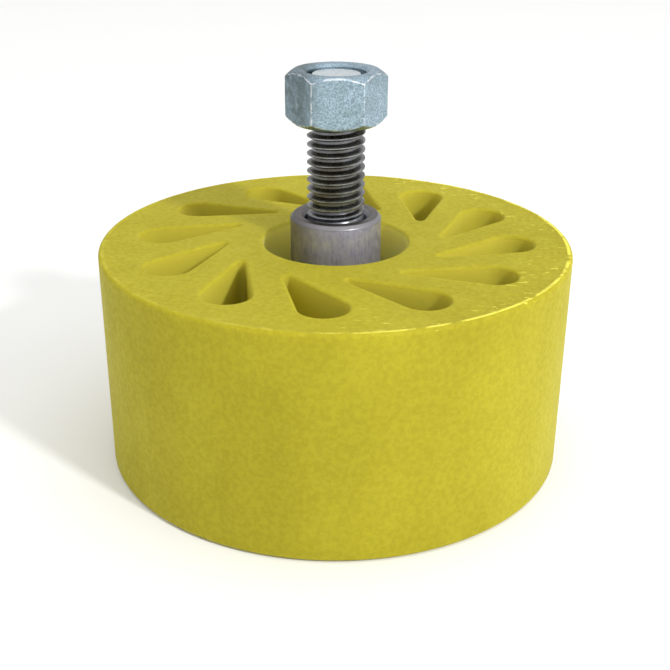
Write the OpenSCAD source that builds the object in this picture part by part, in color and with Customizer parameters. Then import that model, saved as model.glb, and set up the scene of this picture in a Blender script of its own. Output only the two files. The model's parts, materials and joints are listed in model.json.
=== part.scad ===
// Through-bolted track roller: a cast polyurethane body on a steel hub tube,
// two sealed ball bearings, a clamped inner stack and a half-inch axle bolt.
// The roller stands on its lower face, with its axle along +Z. Millimetres.

/* [Roller body] */
// Outside diameter of the roller
roller_d = 104.8; // [96:0.2:140]
// Width of the roller along its axis
roller_w = 50; // [46:0.5:70]
// Rounding of the two outer edges
edge_r = 1; // [0.4:0.1:3]
// Polyurethane left between a pocket and the tread
rim_wall = 8.1; // [5:0.1:10]
// Polyurethane left between the hub tube and a pocket's tip
hub_wall = 5; // [3:0.1:7]

/* [Cushioning pockets] */
// Number of pockets around the body
pocket_count = 12; // [6:1:13]
// Radius of a pocket's round outer end
pocket_end_r = 5.1; // [3.5:0.1:6]
// Radius of a pocket's inner tip
pocket_tip_r = 0.9; // [0.5:0.1:2]
// Angle by which the tip trails the round end
pocket_sweep = 20; // [0:1:28]
// Turn of the whole ring of pockets about the axle
pocket_turn = -3.3; // [-15:0.1:15]

/* [Hub tube] */
// Wall of the hub tube outside the bearings
hub_wall_t = 3.05; // [2:0.05:4]
// Steel beyond each retaining ring groove
hub_lip = 1.7; // [0.8:0.1:3]
// Width of the grooves that key the polyurethane to the hub
key_groove_w = 3; // [2:0.5:4]
// Depth of the key grooves
key_groove_depth = 1; // [0.4:0.1:1.4]
// Lead-in chamfer at the hub's mouths, which also widens the body's recesses
lead_in = 0.3; // [0.2:0.1:1]

/* [Ball bearings] */
// Outside diameter of each bearing
bearing_d = 32; // [32:0.5:36]
// Width of each bearing
bearing_w = 10; // [9:0.5:12]
// Ball diameter
ball_d = 5.953; // [5:0.001:6]
// Number of balls in each bearing
ball_count = 7; // [5:1:8]
// Height of the inner ring's shoulders above its raceway
inner_shoulder = 0.97; // [0.5:0.01:1.2]
// Height of the outer ring's shoulders above its raceway
outer_shoulder = 0.5; // [0.4:0.01:0.8]
// Thickness of a seal
seal_t = 0.9; // [0.5:0.1:1]
// How far a seal sits below the bearing's side face
seal_inset = 0.35; // [0.2:0.05:0.5]

/* [Retaining rings] */
// Thickness of a retaining ring
clip_t = 1.2; // [1:0.1:1.6]
// Depth of its groove in the hub
clip_groove_depth = 0.85; // [0.5:0.05:1.2]
// Width of its band at the back
clip_band = 3; // [2:0.1:3.4]
// Radius of its lugs
clip_lug_r = 2.2; // [1.8:0.1:2.4]

/* [Axle stack] */
// Diameter of the axle bolt's shank and thread crests
bolt_d = 12.7; // [11:0.1:12.7]
// Length of the bolt under its head
bolt_len = 76.2; // [72:0.1:110]
// Length of the bolt's thread
thread_len = 31.75; // [28:0.05:40]
// Thread pitch
pitch = 1.954; // [1.5:0.001:2.2]
// Length of the undercut where the thread runs out
runout_len = 0.7; // [0.6:0.1:2]
// Distance across the flats of the bolt head and the nut
hex_af = 19.05; // [17:0.05:20]
// Height of the bolt head
head_h = 7.94; // [6:0.01:9]
// Height of the nut
nut_h = 11.1; // [9:0.1:13]
// How far the nut's face stands beyond the bolt's end
nut_cover = 0.8; // [0:0.1:2]
// Outside diameter of the mounting sleeve and the head spacer
sleeve_d = 20.2; // [18:0.1:20.6]
// How far the sleeve stands proud of the roller's upper face
sleeve_proud = 6.05; // [3:0.05:12]
// Thickness of the spacer under the bolt head
head_spacer_t = 2.5; // [1.5:0.1:4]
// Turn of the nut about the bolt
nut_turn = 1.8; // [-30:0.1:30]
// Length of the spacer between the inner rings
spacer_len = 4; // [3:0.5:12]

/* [Fits] */
// Diametral play between the bolt and the bearing bores
bolt_fit = 0.04; // [0.02:0.02:0.3]
// Diametral play between the bolt and the sleeve and spacers
sleeve_fit = 0.8; // [0.2:0.1:1.2]
// Diametral play between the nut and the bolt's crests
nut_fit = 0.2; // [0.04:0.02:0.3]
// Diameter taken off the bolt's crests inside the nut
engaged_relief = 0.4; // [0.2:0.1:0.6]
// Diametral play of each ball between the raceways
ball_play = 0.04; // [0.02:0.01:0.1]
// Gap between each ball and its cage pocket
cage_gap = 0.12; // [0.05:0.01:0.2]
// Gap between a seal's lip and the inner ring
lip_gap = 0.12; // [0.05:0.01:0.2]
// Play of a retaining ring in its groove
clip_fit = 0.1; // [0.05:0.05:0.2]

/* [Hidden] */
$fn = 96;
cut = 1;                       // overrun of a cutting shape past the face that it cuts

// Colours
urethane = [0.76, 0.71, 0.19];
turned_steel = [0.42, 0.41, 0.44];
dark_steel = [0.34, 0.34, 0.33];
zinc_plate = [0.66, 0.71, 0.73];
bearing_steel = [0.75, 0.75, 0.76];
seal_rubber = [0.08, 0.08, 0.09];
cage_nylon = [0.85, 0.82, 0.72];
spring_steel = [0.16, 0.16, 0.17];

// Heights along the axle, from the roller's lower face
stack_len = 2 * bearing_w + spacer_len;
lower_z = (roller_w - stack_len) / 2;
upper_z = lower_z + bearing_w + spacer_len;
stack_top = upper_z + bearing_w;
groove_w = clip_t + clip_fit;
hub_len = stack_len + 2 * (groove_w + hub_lip);
hub_z = (roller_w - hub_len) / 2;
head_top = lower_z - head_spacer_t;
bolt_end = head_top + bolt_len;
sleeve_top = roller_w + sleeve_proud;
nut_z = bolt_end + nut_cover - nut_h;

// Bearing proportions
ball_circle_d = (bearing_d + bolt_d) / 2;   // the balls run midway between bore and outside
race_share = 0.52;             // a raceway's radius as a share of the ball's diameter
seal_seat_depth = 0.3;         // how far a seal's seat lies outside the outer raceway
lug_setback = 1.2;             // how far a retaining ring's lugs stand inwards of its groove
lug_clearance = 0.5;           // least gap between those lugs and the sleeve or the head spacer

// Radii
roller_r = roller_d / 2;
bearing_r = bearing_d / 2;
hub_r = bearing_r + hub_wall_t;
recess_r = bearing_r + lead_in;
ball_r = ball_d / 2;
race_r = race_share * ball_d;
inner_race_r = (ball_circle_d - ball_d - ball_play) / 2;
outer_race_r = (ball_circle_d + ball_d + ball_play) / 2;
inner_land_r = inner_race_r + inner_shoulder;
outer_land_r = outer_race_r - outer_shoulder;
seal_seat_r = outer_race_r + seal_seat_depth;
bore_r = (bolt_d + bolt_fit) / 2;
sleeve_bore_r = (bolt_d + sleeve_fit) / 2;
clip_r = bearing_r + clip_groove_depth;
lug_inner_r = clip_r - lug_setback - 2 * clip_lug_r;

// Step by which the sleeve and the head spacer bear on an inner ring only. It passes the
// retaining ring's lugs where they are wide enough to meet them.
nose_h = sleeve_d / 2 + lug_clearance < lug_inner_r ? 0.8 : clip_t + lug_clearance;

// Pocket centres
end_centre_r = roller_r - rim_wall - pocket_end_r;
tip_centre_r = hub_r + hub_wall + pocket_tip_r;

// Small machined features
sleeve_chamfer = 0.8;
sleeve_mouth = 1.05;           // chamfer inside the sleeve's upper mouth
thread_chamfer = 1.1;          // bevel on the bolt's end
nut_mouth = 0.6;               // countersink at each end of the nut
hex_chamfer_angle = 35;
hex_face_share = 0.96;         // of the half width across flats, where the bevel meets the flat end
washer_face_share = 0.95;      // of the same half width, out to the washer face's edge
thread_depth_share = 0.613;    // depth of a unified thread as a share of its pitch
washer_face_h = 0.4;           // round bearing face under the bolt head

// A ring of rectangular section between two radii, standing on height z
module ring(inner, outer, z, h) {
    translate([0, 0, z]) difference() {
        cylinder(r = outer, h = h);
        translate([0, 0, -cut]) cylinder(r = inner, h = h + 2 * cut);
    }
}

// Turns a section drawn as (radius, height) about the axle, raised to height z
module turned(z = 0) {
    translate([0, 0, z]) rotate_extrude() children();
}

// ---- roller body ----

// Half section of the body with its rounded outer edges, as a solid puck
module puck_section() {
    flat_r = roller_r - edge_r;
    square([flat_r, roller_w]);
    translate([0, edge_r]) square([roller_r, roller_w - 2 * edge_r]);
    for (z = [edge_r, roller_w - edge_r]) translate([flat_r, z]) circle(r = edge_r);
}

// Outline of the hub tube with its key grooves, as a solid bar
module hub_section() {
    difference() {
        square([hub_r, hub_len]);
        for (share = [1/4, 3/4])
            translate([hub_r - key_groove_depth, share * hub_len - key_groove_w / 2])
                square([key_groove_depth + cut, key_groove_w]);
    }
}

// Points along an arc about centre c, from angle a0 to a1
function arc(c, r, a0, a1, steps) =
    [for (i = [0 : steps]) let (a = a0 + (a1 - a0) * i / steps) c + r * [cos(a), sin(a)]];

// Teardrop: a large and a small arc joined by their outer tangents
module teardrop() {
    large = [end_centre_r, 0];
    small = tip_centre_r * [cos(-pocket_sweep), sin(-pocket_sweep)];
    run = small - large;
    lean = atan2(run.y, run.x);
    spread = acos((pocket_end_r - pocket_tip_r) / norm(run));
    polygon(concat(
        arc(small, pocket_tip_r, lean - spread, lean + spread, 8),
        arc(large, pocket_end_r, lean + spread, lean - spread + 360, 24)
    ));
}

module roller_body() {
    color(urethane) difference() {
        turned() difference() {
            puck_section();
            translate([0, -cut]) square([recess_r, roller_w + 2 * cut]);
            translate([0, hub_z]) hub_section();
        }
        for (i = [0 : pocket_count - 1])
            rotate(pocket_turn + i * 360 / pocket_count)
                translate([0, 0, -cut]) linear_extrude(roller_w + 2 * cut) teardrop();
    }
}

module hub_tube() {
    color(turned_steel) turned(hub_z) difference() {
        hub_section();
        // bearing seats either side of the shoulder
        for (z = [-cut, hub_len / 2 + spacer_len / 2])
            translate([0, z]) square([bearing_r, (hub_len - spacer_len) / 2 + cut]);
        // shoulder between the outer rings
        square([outer_land_r, hub_len]);
        // retaining ring grooves
        for (z = [hub_lip, hub_len - hub_lip - groove_w])
            translate([0, z]) square([clip_r + clip_fit / 2, groove_w]);
        // lead-in chamfers
        for (end = [0, 1])
            translate([0, end * hub_len]) mirror([0, end])
                polygon([[0, -cut], [bearing_r + lead_in + cut, -cut],
                         [bearing_r - cut, lead_in + cut], [0, lead_in + cut]]);
    }
}

// ---- ball bearings, drawn from their lower side face ----

// Room for a seal at both side faces of a bearing, out to radius r
module seal_rooms(r) {
    for (z = [-cut, bearing_w - seal_inset - seal_t])
        translate([0, z]) square([r, seal_inset + seal_t + cut]);
}

module outer_ring(z) {
    color(bearing_steel) turned(z) difference() {
        translate([outer_land_r, 0]) square([bearing_r - outer_land_r, bearing_w]);
        translate([outer_race_r - race_r, bearing_w / 2]) circle(r = race_r);
        seal_rooms(seal_seat_r);
    }
}

module inner_ring(z) {
    color(bearing_steel) turned(z) difference() {
        translate([bore_r, 0]) square([inner_land_r - bore_r, bearing_w]);
        translate([inner_race_r + race_r, bearing_w / 2]) circle(r = race_r);
    }
}

module ball_set(r) {
    for (i = [0 : ball_count - 1])
        rotate(i * 360 / ball_count) translate([ball_circle_d / 2, 0, bearing_w / 2]) sphere(r = r);
}

module balls(z) {
    color(bearing_steel) translate([0, 0, z]) ball_set(ball_r);
}

// Crown cage: a ring below the balls with open pockets that grip them from one side
module cage(z) {
    inner_gap = 0.7;
    outer_gap = 0.9;
    seal_gap = 0.25;
    grip = 0.35;               // share of a ball's radius that the cage reaches past its centre
    cage_in = inner_land_r + inner_gap;
    cage_out = outer_land_r - outer_gap;
    cage_z = seal_inset + seal_t + seal_gap;
    cage_h = bearing_w / 2 + grip * ball_r - cage_z;
    color(cage_nylon) translate([0, 0, z]) difference() {
        ring(cage_in, cage_out, cage_z, cage_h);
        ball_set(ball_r + cage_gap);
    }
}

// Seal: a moulded disc seated in the outer ring, with a lip that clears the inner ring
module seal() {
    lip_r = inner_land_r + lip_gap;
    channel_depth = 0.3;       // of the moulded channel in the seal's face
    lip_band = 1.2;
    seat_band = 1;
    color(seal_rubber) turned() difference() {
        translate([lip_r, 0]) square([seal_seat_r - lip_r, seal_t]);
        translate([lip_r + lip_band, seal_t - channel_depth])
            square([seal_seat_r - lip_r - lip_band - seat_band, channel_depth + cut]);
    }
}

// A seal at one side face of the bearing that stands on height z, its channel facing outwards
module placed_seal(z, up) {
    translate([0, 0, z + (up ? bearing_w - seal_inset - seal_t : seal_inset + seal_t)])
        mirror([0, 0, up ? 0 : 1]) seal();
}

// ---- retaining rings ----

module retaining_ring(z, turn) {
    gap_angle = 22;            // half angle between the lugs' centres and the gap's middle
    lug_centre_r = lug_inner_r + clip_lug_r;
    lug_hole_r = 1.1;
    band_shift = 0.5;          // the band narrows towards its lugs
    color(spring_steel) translate([0, 0, z]) rotate(turn) linear_extrude(clip_t) difference() {
        union() {
            difference() {
                circle(r = clip_r);
                translate([band_shift, 0]) circle(r = clip_r - clip_band + band_shift);
                polygon([[0, 0], 2 * clip_r * [cos(gap_angle), sin(gap_angle)],
                         2 * clip_r * [cos(gap_angle), -sin(gap_angle)]]);
            }
            for (side = [-1, 1]) rotate(side * gap_angle)
                translate([lug_centre_r, 0]) circle(r = clip_lug_r);
        }
        for (side = [-1, 1]) rotate(side * gap_angle) translate([lug_centre_r, 0]) circle(r = lug_hole_r);
    }
}

// ---- axle stack ----

module bearing_spacer() {
    color(turned_steel) ring(sleeve_bore_r, inner_land_r, lower_z + bearing_w, spacer_len);
}

module head_spacer() {
    // a nose on the bearing side bears on the inner ring only
    color(turned_steel) turned(head_top) translate([sleeve_bore_r, 0]) {
        square([sleeve_d / 2 - sleeve_bore_r, head_spacer_t - nose_h]);
        square([inner_land_r - sleeve_bore_r, head_spacer_t]);
    }
}

module mounting_sleeve() {
    sleeve_r = sleeve_d / 2;
    color(turned_steel) turned() polygon([
        [sleeve_bore_r, stack_top],
        [inner_land_r, stack_top],
        [inner_land_r, stack_top + nose_h],
        [sleeve_r, stack_top + nose_h],
        [sleeve_r, sleeve_top - sleeve_chamfer],
        [sleeve_r - sleeve_chamfer, sleeve_top],
        [sleeve_bore_r + sleeve_mouth, sleeve_top],
        [sleeve_bore_r, sleeve_top - sleeve_mouth],
    ]);
}

// Hexagon prism from height 0 to h, its corners bevelled at the top, and at the foot if both
module bevelled_hex(h, both) {
    corner_r = hex_af / 2 / cos(30);
    face_r = hex_face_share * hex_af / 2;
    drop = (corner_r - face_r) * tan(hex_chamfer_angle);
    intersection() {
        cylinder(r = corner_r, h = h, $fn = 6);
        turned() polygon([
            [0, 0],
            [both ? face_r : corner_r, 0],
            [corner_r, both ? drop : 0],
            [corner_r, h - drop],
            [face_r, h],
            [0, h],
        ]);
    }
}

module axle_bolt() {
    bolt_r = bolt_d / 2;
    engaged_r = bolt_r - engaged_relief / 2;
    root_r = bolt_r - thread_depth_share * pitch;
    thread_z = bolt_end - thread_len;
    nut_gap = 0.2;             // relieved crests begin this far below the nut
    washer_face_r = washer_face_share * hex_af / 2;
    color(dark_steel) union() {
        translate([0, 0, head_top - washer_face_h]) mirror([0, 0, 1])
            bevelled_hex(head_h - washer_face_h, false);
        translate([0, 0, head_top - washer_face_h]) cylinder(r = washer_face_r, h = washer_face_h);
        turned() polygon([
            [0, head_top - washer_face_h],
            [bolt_r, head_top - washer_face_h],
            [bolt_r, thread_z],
            [root_r, thread_z],
            [root_r, thread_z + runout_len],
            [bolt_r, thread_z + runout_len],
            [bolt_r, nut_z - nut_gap],
            [engaged_r, nut_z - nut_gap],
            [engaged_r, bolt_end - thread_chamfer],
            [engaged_r - thread_chamfer, bolt_end],
            [0, bolt_end],
        ]);
    }
}

module hex_nut() {
    hole_r = (bolt_d + nut_fit) / 2;
    mouth_r = hole_r + nut_mouth;
    color(zinc_plate) translate([0, 0, nut_z]) rotate(nut_turn) difference() {
        bevelled_hex(nut_h, true);
        turned() polygon([
            [0, -cut],
            [mouth_r + cut, -cut],
            [hole_r, nut_mouth],
            [hole_r, nut_h - nut_mouth],
            [mouth_r + cut, nut_h + cut],
            [0, nut_h + cut],
        ]);
    }
}

roller_body();
hub_tube();
outer_ring(lower_z);  // lower_bearing_outer_ring
inner_ring(lower_z);  // lower_bearing_inner_ring
balls(lower_z);  // lower_bearing_balls
cage(lower_z);  // lower_bearing_cage
placed_seal(lower_z, false);  // lower_bearing_outboard_seal
placed_seal(lower_z, true);  // lower_bearing_inboard_seal
outer_ring(upper_z);  // upper_bearing_outer_ring
inner_ring(upper_z);  // upper_bearing_inner_ring
balls(upper_z);  // upper_bearing_balls
cage(upper_z);  // upper_bearing_cage
placed_seal(upper_z, true);  // upper_bearing_outboard_seal
placed_seal(upper_z, false);  // upper_bearing_inboard_seal
retaining_ring(lower_z - clip_t, 90);  // lower_retaining_ring
retaining_ring(stack_top, 270);  // upper_retaining_ring
bearing_spacer();
head_spacer();
mounting_sleeve();
axle_bolt();
hex_nut();
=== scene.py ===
"""Track roller: the finished surfaces of a cast urethane roller with its sleeve, bolt and nut."""
import json
import math

import bmesh
import bpy
import numpy as np
from bpy.props import FloatProperty, FloatVectorProperty, IntProperty, PointerProperty
from mathutils import Matrix, Vector


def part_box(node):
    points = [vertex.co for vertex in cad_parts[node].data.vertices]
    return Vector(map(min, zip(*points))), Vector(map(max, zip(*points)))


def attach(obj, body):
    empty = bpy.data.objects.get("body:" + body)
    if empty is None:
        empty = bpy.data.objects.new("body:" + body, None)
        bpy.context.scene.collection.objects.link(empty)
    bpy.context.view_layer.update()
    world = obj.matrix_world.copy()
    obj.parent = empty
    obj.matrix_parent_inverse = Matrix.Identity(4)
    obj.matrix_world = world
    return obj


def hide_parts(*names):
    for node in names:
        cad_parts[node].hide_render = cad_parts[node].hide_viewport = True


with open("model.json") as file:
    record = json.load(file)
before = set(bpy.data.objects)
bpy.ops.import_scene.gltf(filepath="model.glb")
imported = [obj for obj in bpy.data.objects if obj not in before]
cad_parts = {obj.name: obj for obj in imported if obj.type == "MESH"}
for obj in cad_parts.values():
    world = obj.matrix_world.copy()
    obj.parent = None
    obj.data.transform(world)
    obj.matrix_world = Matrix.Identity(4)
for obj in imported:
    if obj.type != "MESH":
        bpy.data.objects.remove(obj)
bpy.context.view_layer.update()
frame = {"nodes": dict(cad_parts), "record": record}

bl_info = {
    "name": "Track roller",
    "version": (1, 0, 0),
    "blender": (4, 5, 0),
    "location": "3D View > Sidebar > Track roller",
    "description": "Builds the visible surfaces and finishes of a bolt-on urethane track roller",
    "category": "Add Mesh",
}

MM = 0.001
TURN = 2 * math.pi
WELD = 0.002 * MM                  # points closer than this are one point
CREASE = math.radians(35)          # edges sharper than this show as edges
BEVEL = math.radians(35)           # slope of the bevel at a hexagon's ends
FACE_SHARE = 0.96                  # circle of a hexagon's end face, as a share of its width across flats
THREAD_SHARE = 0.613               # depth of a unified thread, as a share of its pitch
MOUNTS = {m["name"]: m for m in frame["record"]["mounts"]}


def low(node, axis):
    """Lowest coordinate of a node of the frame on an axis, 0 to 2."""
    return float(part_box(node)[0][axis])


def high(node, axis):
    """Highest coordinate of a node of the frame on an axis, 0 to 2."""
    return float(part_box(node)[1][axis])


def linear(code):
    """An sRGB hex colour as linear red, green and blue."""
    parts = [int(code[i:i + 2], 16) / 255 for i in (1, 3, 5)]
    return tuple(p / 12.92 if p <= 0.04045 else ((p + 0.055) / 1.055) ** 2.4 for p in parts)


def length(name, default, description):
    """A length property in metres."""
    return FloatProperty(name=name, description=description, default=default, unit="LENGTH",
                         subtype="DISTANCE", precision=5)


def colour(name, code, description):
    """A colour property whose default is an sRGB hex colour."""
    return FloatVectorProperty(name=name, description=description, default=linear(code),
                               subtype="COLOR", size=3, min=0, max=1)


# ---- what a user would change ----

class RollerSizes(bpy.types.PropertyGroup):
    """Sizes of the cast roller body."""
    radius: length("Radius", -low("roller_body", 0) - 0.01 * MM, "Radius of the tread")
    width: length("Width", high("roller_body", 2), "Width of the roller along its axle")
    recess_r: length("Recess radius", 16.3 * MM, "Radius of the recess over each bearing")
    hub_r: length("Hub radius", high("hub_tube", 0), "Outside radius of the hub tube")
    edge_r: length("Edge radius", 1.0 * MM, "Rounding of the tread's edges")
    lip_w: length("Lip width", 0.7 * MM, "Width of the trimmed lip round the upper face")
    lip_h: length("Lip height", 0.2 * MM, "Height of that lip above the cast face")
    mouth_r: length("Recess rounding", 0.6 * MM, "Rounding of each recess's mouth")
    pockets: IntProperty(name="Pockets", description="Number of cushioning pockets", default=12, min=3)
    end_r: length("Pocket end", 5.1 * MM, "Radius of a pocket's round outer end")
    tip_r: length("Pocket tip", 0.9 * MM, "Radius of a pocket's inner tip")
    end_at: length("Pocket end at", 39.2 * MM, "Distance of the round end's centre from the axle")
    tip_at: length("Pocket tip at", 24.95 * MM, "Distance of the tip's centre from the axle")
    sweep: FloatProperty(name="Pocket sweep", description="Angle by which the tip trails the round end",
                         default=math.radians(20), subtype="ANGLE", unit="ROTATION")
    turn: FloatProperty(name="Pocket turn", description="Turn of the ring of pockets about the axle",
                        default=math.radians(-3.3), subtype="ANGLE", unit="ROTATION")
    rim_r: length("Pocket rounding", 0.7 * MM, "Rounding of each pocket's rim")
    key_w: length("Key groove width", 3 * MM, "Width of the grooves that key the urethane to the hub")
    key_depth: length("Key groove depth", 1 * MM, "Depth of those grooves")


class AxleSizes(bpy.types.PropertyGroup):
    """Sizes of the bolt, the nut and the sleeve."""
    bolt_r: length("Bolt radius", MOUNTS["axle_thread"]["dims"]["r_mm"] * MM,
                   "Radius of the shank and of the thread's crests")
    head_h: length("Head height", 7.94 * MM, "Height of the bolt's head")
    thread_len: length("Thread length", 31.75 * MM, "Length of the bolt's thread")
    pitch: length("Thread pitch", 1.954 * MM, "Rise of the thread in one turn")
    end_chamfer: length("End chamfer", 1.25 * MM, "Bevel at the bolt's end")
    flats: length("Across flats", 2 * high("axle_bolt", 1), "Width of the head and the nut across flats")
    hex_edge: length("Hexagon edge", 0.35 * MM, "Rounding of the hexagons' upright edges")
    nut_play: length("Nut play", 0.08 * MM, "Gap between the nut's thread and the bolt's crests")
    nut_mouth_r: length("Nut mouth", 7.05 * MM, "Radius of the countersink at each end of the nut")
    nut_turn: FloatProperty(name="Nut turn", description="Turn of the nut about the bolt",
                            default=math.radians(1.8), subtype="ANGLE", unit="ROTATION")
    sleeve_bore_r: length("Sleeve bore", 6.75 * MM, "Radius of the sleeve's bore")
    sleeve_nose_r: length("Sleeve nose", 9.15 * MM, "Radius of the step that bears on the inner ring")
    sleeve_nose_h: length("Nose height", 0.8 * MM, "Height of that step")
    sleeve_chamfer: length("Sleeve chamfer", 0.8 * MM, "Outer chamfer at the sleeve's free end")
    sleeve_mouth: length("Sleeve mouth", 1.05 * MM, "Inner chamfer at the sleeve's free end")


class Finishes(bpy.types.PropertyGroup):
    """Colours of the finishes."""
    urethane: colour("Urethane", "#B3A929", "Cast urethane where it is clean")
    urethane_dull: colour("Dull urethane", "#9C9222", "Cast urethane where bubbles cloud it")
    # painted light: the next two colours paint the pocket walls paler and the recess walls near white,
    # against the shade inside them
    urethane_pocket_painted_light: colour("Cored urethane", "#C4BA42", "Cast urethane against the pockets' cores")
    urethane_recess_painted_light: colour("Recess urethane", "#F4EC70", "Cast urethane against the polished recess plugs")
    urethane_rubbed: colour("Rubbed urethane", "#EAE25C", "Nicks and rubbed edges")
    zinc: colour("Zinc", "#B4CCDC", "Bright zinc plate on the nut")
    zinc_dull: colour("Dull zinc", "#84999F", "Zinc plate where it has dulled")
    # painted shade with a real mottle: this colour darkens the nut's left side
    zinc_shade_and_stain: colour("Stained zinc", "#5B6A6B", "Zinc plate where it has darkened on one side")
    # painted highlight with wear: the nut's edges and creases are painted near white, partly rubbed zinc
    # and partly a painted highlight
    zinc_rubbed_and_glint: colour("Rubbed zinc", "#E8EEF2", "Zinc plate where it is rubbed bright")
    bolt: colour("Bolt steel", "#737478", "Rolled thread of the bolt")
    # painted highlight with burnish: this colour makes the thread's crests brighter than its shaded roots
    bolt_crest_burnish_and_highlight: colour("Thread crests", "#94979B", "Thread crests, burnished by nuts")
    bolt_oil: colour("Oil stain", "#544E42", "Brown film of dried oil in the thread")
    bolt_end: colour("Bolt end", "#E4ECEF", "Sheared end of the bolt")
    sleeve: colour("Sleeve steel", "#BDBEEA", "Turned and ground steel of the sleeve")
    sleeve_dark: colour("Dark sleeve steel", "#8A8AB0", "Mill scale left between the grinding streaks")
    sleeve_chamfer: colour("Sleeve chamfers", "#8E8C8F", "Turned chamfers at the sleeve's end")
    # painted shade: this colour darkens the sleeve's left side and paints a shadow on its upper end face
    sleeve_painted_shade: colour("Sleeve end", "#57524F", "Dull steel of the clamped end face")
    hub: colour("Hub steel", "#77746F", "Turned steel of the hub tube")
    bearing: colour("Bearing steel", "#BDBDBE", "Ground rings of the bearings")
    clip: colour("Spring steel", "#2B2B2D", "Phosphated retaining rings")
    seal: colour("Seal rubber", "#161618", "Nitrile rubber of the seals")
    cage: colour("Cage nylon", "#D8CFB4", "Moulded nylon of the ball cages")
    floor: colour("Floor", "#FAFAF8", "Pale studio floor")


# ---- surfaces ----

def waves(t, counts):
    """Smooth unevenness from -1 to 1: the mean over the counts k of sin(2 pi k t + 1.7 k)."""
    return sum(np.sin(TURN * k * t + 1.7 * k) for k in counts) / len(counts)


def ease(t):
    """Smooth step: 3 t squared less 2 t cubed, held between 0 and 1."""
    t = np.clip(t, 0, 1)
    return t * t * (3 - 2 * t)


def outline(centres, radii, arc_steps, side_steps):
    """Outer outline of a ring of circles, anticlockwise, as points and outward normals.

    On a circle of centre c and radius r each point is c + r n, for normals n between its two tangents. From
    one circle to the next the point runs straight along their common tangent, whose normal lies arccos of
    (difference of radii / distance) to the right of the line between the centres."""
    c, r = np.array(centres, float), np.array(radii, float)
    run = np.roll(c, -1, 0) - c
    reach = np.arccos((r - np.roll(r, -1)) / np.hypot(*run.T))
    last = np.arctan2(run[:, 1], run[:, 0]) - reach
    first = np.roll(last, 1)
    span = (last - first) % TURN
    points, normals = [], []
    for i in range(len(c)):
        angle = first[i] + span[i] * np.linspace(0, 1, arc_steps[i])
        n = np.stack([np.cos(angle), np.sin(angle)], 1)
        after = (i + 1) % len(c)
        t = np.linspace(0, 1, side_steps + 1)[1:-1, None]
        points += [c[i] + r[i] * n, (1 - t) * (c[i] + r[i] * n[-1]) + t * (c[after] + r[after] * n[-1])]
        normals += [n, np.repeat(n[-1:], side_steps - 1, 0)]
    return np.concatenate(points), np.concatenate(normals)


def soften(corners, radius, steps=4):
    """Rounds the inner corners of an open line: a parabola (1-t)^2 a + 2t(1-t) c + t^2 b takes each one's
    place, where a and b lie on its two sides, at the radius or at 0.45 of the side from the corner c."""
    c = np.array(corners, float)
    before, after = c[:-2] - c[1:-1], c[2:] - c[1:-1]

    def stand_off(side):
        size = np.linalg.norm(side, axis=1, keepdims=True)
        return side / size * np.minimum(radius, 0.45 * size)

    a, b = c[1:-1] + stand_off(before), c[1:-1] + stand_off(after)
    t = np.linspace(0, 1, steps + 1)[None, :, None]
    curves = (1 - t) ** 2 * a[:, None] + 2 * t * (1 - t) * c[1:-1][:, None] + t ** 2 * b[:, None]
    return np.concatenate([c[:1], curves.reshape(-1, 2), c[-1:]])


def revolve(profile, angles):
    """A line of (radius, height) turned about the axle: x = r cos a, y = r sin a, z = h."""
    r, h = profile[:, :1], profile[:, 1:]
    return np.stack([r * np.cos(angles), r * np.sin(angles), h + 0 * angles], -1)


def stack(levels):
    """Grid of points from pairs of an outline and its height or heights, one row for each pair."""
    return np.stack([np.column_stack([p, np.broadcast_to(z, len(p))]) for p, z in levels])


def spun(grid, angle):
    """The same grid turned about the axle."""
    c, s = math.cos(angle), math.sin(angle)
    return grid @ np.array([[c, s, 0], [-s, c, 0], [0, 0, 1]])


def piece(name, grids, body, nodes, finish, wear_and_glint=None):
    """One closed mesh from grids of points, each with whether its rows close on themselves.

    Each cell of four neighbouring points is a face. Points that meet are welded, faces that the weld
    leaves with no area are dropped, and the normals are turned outwards. The optional function says how
    rubbed each point is, which also sets its painted edge highlight."""
    points, faces, start = [], [], 0
    for grid, closed in grids:
        rows, cols = grid.shape[:2]
        i = np.arange(rows * cols).reshape(rows, cols) + start
        j = np.concatenate([i, i[:, :1]], 1) if closed else i
        faces.append(np.stack([j[:-1, :-1], j[:-1, 1:], j[1:, 1:], j[1:, :-1]], -1).reshape(-1, 4))
        points.append(grid.reshape(-1, 3))
        start += rows * cols
    mesh = bpy.data.meshes.new(name)
    mesh.from_pydata(np.concatenate(points).tolist(), [], np.concatenate(faces).tolist())
    work = bmesh.new()
    work.from_mesh(mesh)
    bmesh.ops.remove_doubles(work, verts=work.verts, dist=WELD)
    bmesh.ops.dissolve_degenerate(work, edges=work.edges, dist=WELD)
    bmesh.ops.recalc_face_normals(work, faces=work.faces)
    open_edges = sum(not e.is_manifold for e in work.edges)
    work.to_mesh(mesh)
    work.free()
    if open_edges:
        raise RuntimeError(f"{name} has {open_edges} open edges")
    mesh.shade_smooth()
    mesh.set_sharp_from_angle(angle=CREASE)
    mesh.materials.append(finish)
    if wear_and_glint:
        place = np.empty(3 * len(mesh.vertices))
        mesh.vertices.foreach_get("co", place)
        mesh.attributes.new("wear_and_glint", "FLOAT", "POINT").data.foreach_set("value", wear_and_glint(place.reshape(-1, 3)))
    obj = bpy.data.objects.new(name, mesh)
    bpy.context.scene.collection.objects.link(obj)
    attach(obj, body)
    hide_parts(*nodes)
    return obj


# ---- roller body ----

ARC_OUT, ARC_IN, SIDE = 25, 13, 24     # points along a pocket's round end and tip, steps along its sides
HOLLOW = 0.12 * MM                     # how far the upper face sinks between the pockets
LIP_LOSS = 0.75                        # share of the lip's height that is missing where it is lowest


def face_height(s):
    """Height of the upper face as it is cast, below the trimmed lip."""
    return s.width - s.lip_h


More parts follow.
